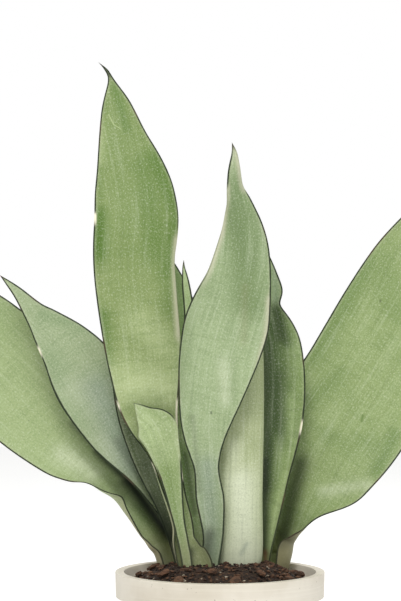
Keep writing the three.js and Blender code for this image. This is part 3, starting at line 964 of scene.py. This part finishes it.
def pot_piece():
    """A cylinder drawn up, out over the rim band and down inside, with four drain holes."""
    height = POT_TOP - RIM_HEIGHT - RIM_STEP
    bpy.ops.mesh.primitive_cylinder_add(
        vertices=POT_SIDES, radius=POT_FOOT, depth=height, location=(0, 0, height / 2)
    )
    pot = bpy.context.object
    pot.name = pot.data.name = "flower_pot"
    bpy.ops.object.transform_apply(location=True, rotation=True, scale=True)
    route = [
        (POT_RADIUS - RIM_TAPER, POT_TOP - RIM_HEIGHT),
        (POT_RADIUS, POT_TOP),
        (outer_radius(POT_TOP) - POT_WALL, POT_TOP),
        (outer_radius(POT_FLOOR) - POT_WALL, POT_FLOOR),
    ]
    bpy.ops.object.mode_set(mode="EDIT")
    bpy.context.tool_settings.mesh_select_mode = (False, False, True)
    radius, z = POT_FOOT, height
    face_up(pot, z)
    k = outer_radius(z) / radius
    bpy.ops.transform.resize(value=(k, k, 1), center_override=(0, 0, z))
    radius = outer_radius(z)
    for next_radius, next_z in route:
        bpy.ops.mesh.extrude_region_move(TRANSFORM_OT_translate={"value": (0, 0, next_z - z)})
        k = next_radius / radius
        bpy.ops.transform.resize(value=(k, k, 1), center_override=(0, 0, next_z))
        radius, z = next_radius, next_z
    bpy.ops.object.mode_set(mode="OBJECT")
    for i in range(DRAIN_HOLES):
        turn = math.radians(45 + 360 / DRAIN_HOLES * i)
        place = ring_place(DRAIN_CIRCLE, turn, POT_FLOOR / 2)
        bpy.ops.mesh.primitive_cylinder_add(
            vertices=32, radius=DRAIN_RADIUS, depth=3 * POT_FLOOR, location=place
        )
        drill = bpy.context.object
        apply_modifier(pot, "BOOLEAN", operation="DIFFERENCE", object=drill, solver="EXACT")
        bpy.data.objects.remove(drill)
    apply_modifier(
        pot, "BEVEL", width=EDGE_ROUNDING, segments=4, limit_method="ANGLE", angle_limit=math.radians(28)
    )
    smooth(pot, 35)
    return pot


settle(pot_piece(), pot_finish(), "pot_body", "pot")

# ---- potting mix and bark

# In the middle the mix stands this far over the pot's rim, and at the wall this far under it.
CROWN_RISE = 5 * MM
HEADSPACE = 9 * MM
# It is level over this share of its radius.
MOUND_TOP = 0.5
MIX_RINGS = 46
MIX_SIDES = 168
# Between the mix and the pot's wall.
FIT_GAP = 0.3 * MM
BARK_CHIPS = 12


def mix_height(radius):
    """The mix is level round the crown and falls off in a smooth curve to the wall."""
    edge = outer_radius(POT_TOP) - POT_WALL
    share = min(1, max(0, (radius / edge - MOUND_TOP) / (1 - MOUND_TOP)))
    return CROWN - (CROWN_RISE + HEADSPACE) * share * share * (3 - 2 * share)


def mix_piece():
    """A crumbly mound with its skirt and bottom inside the pot."""
    edge = outer_radius(POT_TOP - HEADSPACE) - POT_WALL - FIT_GAP
    foot = outer_radius(POT_FLOOR) - POT_WALL - 2 * FIT_GAP
    turns = [2 * math.pi * i / MIX_SIDES for i in range(MIX_SIDES)]
    points = [(0, 0, mix_height(0))]
    for ring in range(1, MIX_RINGS + 1):
        radius = edge * ring / MIX_RINGS
        rough = 0.0 if ring == MIX_RINGS else 1.0
        for turn in turns:
            x, y, z = ring_place(radius, turn, mix_height(radius))
            lumps = noise.noise(Vector((x, y, 0)) * 150) * 0.9
            crumbs = noise.cell(Vector((x, y, 0.3)) * 420) * 0.5 + noise.noise(Vector((x, y, 1)) * 520) * 0.6
            points.append((x, y, z + rough * MM * (lumps + crumbs - 0.7)))
    points += [ring_place(foot, turn, SOIL_LOW.z) for turn in turns]
    points.append((0, 0, SOIL_LOW.z))
    faces = [(0, 1 + i, 1 + (i + 1) % MIX_SIDES) for i in range(MIX_SIDES)]
    for ring in range(MIX_RINGS):
        for i in range(MIX_SIDES):
            a, b = 1 + ring * MIX_SIDES + i, 1 + ring * MIX_SIDES + (i + 1) % MIX_SIDES
            faces.append((a, a + MIX_SIDES, b + MIX_SIDES, b))
    last = 1 + MIX_RINGS * MIX_SIDES
    faces += [(last + i, last + MIX_SIDES, last + (i + 1) % MIX_SIDES) for i in range(MIX_SIDES)]
    piece = new_piece("potting_mix", points, faces)
    smooth(piece, 50)
    return piece


def crumb_piece(name, count, sizes, seed):
    """Loose crumbs of one kind, scattered over the mix as one piece."""
    dice = random.Random(seed)
    bpy.ops.mesh.primitive_ico_sphere_add(subdivisions=1, radius=1)
    pattern = bpy.context.object
    corners = [v.co.copy() for v in pattern.data.vertices]
    sides = [tuple(p.vertices) for p in pattern.data.polygons]
    bpy.data.objects.remove(pattern)
    limit = outer_radius(POT_TOP - HEADSPACE) - POT_WALL
    points, faces = [], []
    for _ in range(count):
        size = dice.uniform(*sizes) * MM
        radius = (limit - 1.5 * size) * math.sqrt(dice.random())
        turn = dice.uniform(0, 2 * math.pi)
        spin = dice.uniform(0, 2 * math.pi)
        squash = [dice.uniform(0.6, 1.2), dice.uniform(0.45, 0.9), dice.uniform(0.35, 0.7)]
        start = len(points)
        middle_x, middle_y, middle_z = ring_place(radius, turn, mix_height(radius) + 0.1 * size)
        for corner in corners:
            k = dice.uniform(0.78, 1.15)
            x, y, z = [size * k * corner[i] * squash[i] for i in range(3)]
            turned_x = x * math.cos(spin) - y * math.sin(spin)
            turned_y = x * math.sin(spin) + y * math.cos(spin)
            points.append((middle_x + turned_x, middle_y + turned_y, middle_z + z))
        faces += [[start + v for v in side] for side in sides]
    piece = new_piece(name, points, faces)
    smooth(piece, 40)
    return piece


def chip_piece(node):
    """A bark chip, cut finer and roughened by less than a millimetre."""
    chip = carried_copy(node, node.replace("bark_chip", "pine_chip"))
    bpy.ops.object.mode_set(mode="EDIT")
    bpy.ops.mesh.select_all(action="SELECT")
    bpy.ops.mesh.subdivide(number_cuts=3, smoothness=0.15)
    bpy.ops.object.mode_set(mode="OBJECT")
    low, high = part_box(node)
    centre = (low + high) / 2
    for v in chip.data.vertices:
        away = (v.co - centre).normalized()
        rough = noise.noise(v.co / MM / 2.6) * 0.5 + noise.noise(v.co / MM / 0.9) * 0.2 - 0.15
        v.co += away * rough * MM
    smooth(chip, 40)
    return chip


MIX, BARK = mix_finish(), bark_finish()
settle(mix_piece(), MIX, "potting_mix", "soil")
settle(crumb_piece("peat_crumbs", 900, (0.7, 1.9), 5), MIX, "potting_mix")
settle(crumb_piece("bark_crumbs", 260, (1.4, 3.4), 11), BARK, "bark")
for number in range(1, BARK_CHIPS + 1):
    node = f"bark_chip_{number}"
    settle(chip_piece(node), BARK, "bark", node)

# The creeping stem is out of sight, so its CAD node stays and only gets its finish.
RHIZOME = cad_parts["rhizome"]
RHIZOME.data.materials.clear()
RHIZOME.data.materials.append(rhizome_finish())

# ---- floor, light and camera

ROOM_LIGHT = 0.66
FLOOR_RADIUS = 3.0
FLOOR_GLOW = 0.26
WHITE = (1, 1, 1, 1)
BLACK = (0, 0, 0, 1)


def floor_piece():
    """A pale round floor that glows a little further out, so that it fades into the white backdrop."""
    deselect()
    bpy.ops.mesh.primitive_circle_add(vertices=96, radius=FLOOR_RADIUS, fill_type="NGON")
    floor = bpy.context.object
    floor.name = "studio_floor"
    f = Finish("studio_floor")
    x, y, _ = f.parts(f.object_place())
    away = (x * x + y * y).root()
    soft = f.noise(f.object_place(), 3.0, 2.0)
    white = f.blend(colour("f7f7f5"), colour("fbfbfa"), soft)
    glow = f.blend(BLACK, WHITE, away.step(0.25, 1.0))
    sheet = f.done(Base_Color=white, Roughness=0.9, Emission_Color=glow, Emission_Strength=FLOOR_GLOW)
    floor.data.materials.append(sheet)


def lamp(name, place, aim, size, power, tint=(1, 1, 1)):
    """A round soft lamp at a place, turned to its aim."""
    data = bpy.data.lights.new(name, "AREA")
    data.shape = "DISK"
    data.size = size
    data.energy = power
    data.color = tint
    holder = bpy.data.objects.new(name, data)
    holder.location = place
    holder.rotation_euler = (Vector(aim) - Vector(place)).to_track_quat("-Z", "Y").to_euler()
    bpy.context.scene.collection.objects.link(holder)


def studio():
    """A white room: the backdrop shows pure white, and lights the plant more softly than it shows."""
    world = bpy.data.worlds.new("white_studio")
    world.use_nodes = True
    nodes, links = world.node_tree.nodes, world.node_tree.links
    back = nodes["Background"]
    back.inputs[0].default_value = WHITE
    back.inputs[1].default_value = ROOM_LIGHT
    shown = nodes.new("ShaderNodeBackground")
    shown.inputs[0].default_value = WHITE
    path, either = nodes.new("ShaderNodeLightPath"), nodes.new("ShaderNodeMixShader")
    links.new(path.outputs["Is Camera Ray"], either.inputs[0])
    links.new(back.outputs[0], either.inputs[1])
    links.new(shown.outputs[0], either.inputs[2])
    links.new(either.outputs[0], nodes["World Output"].inputs[0])
    bpy.context.scene.world = world
    bpy.context.scene.view_settings.view_transform = "Standard"
    heart = (-0.02, 0.0, CROWN + 0.18)
    lamp("key_softbox", (-0.3, -1.35, 2.0), heart, 0.8, 24.0, (1.0, 0.985, 0.96))
    lamp("fill_softbox", (1.3, -1.3, 0.9), heart, 1.0, 4.0, (0.97, 0.985, 1.0))
    lamp("back_softbox", (0.6, 1.4, 1.6), heart, 1.0, 8.0)


VIEW_DISTANCE = 2.4
VIEW_RISE = math.radians(2)
VIEW_HEIGHT = 0.481
AIM_X = -15.6 * MM
AIM_ABOVE_MIX = 212.4 * MM
SENSOR = 36


def camera():
    """The camera looks from the front, slightly down, and shows VIEW_HEIGHT metres at the plant."""
    aim = Vector((AIM_X, 0, CROWN + AIM_ABOVE_MIX))
    back = Vector((0, -math.cos(VIEW_RISE), math.sin(VIEW_RISE)))
    data = bpy.data.cameras.new("front_camera")
    data.sensor_width = SENSOR
    data.lens = SENSOR * VIEW_DISTANCE / VIEW_HEIGHT
    data.clip_end = 50
    holder = bpy.data.objects.new("front_camera", data)
    holder.location = aim + back * VIEW_DISTANCE
    holder.rotation_euler = (-back).to_track_quat("-Z", "Y").to_euler()
    bpy.context.scene.collection.objects.link(holder)
    bpy.context.scene.camera = holder


floor_piece()
studio()
camera()
deselect()
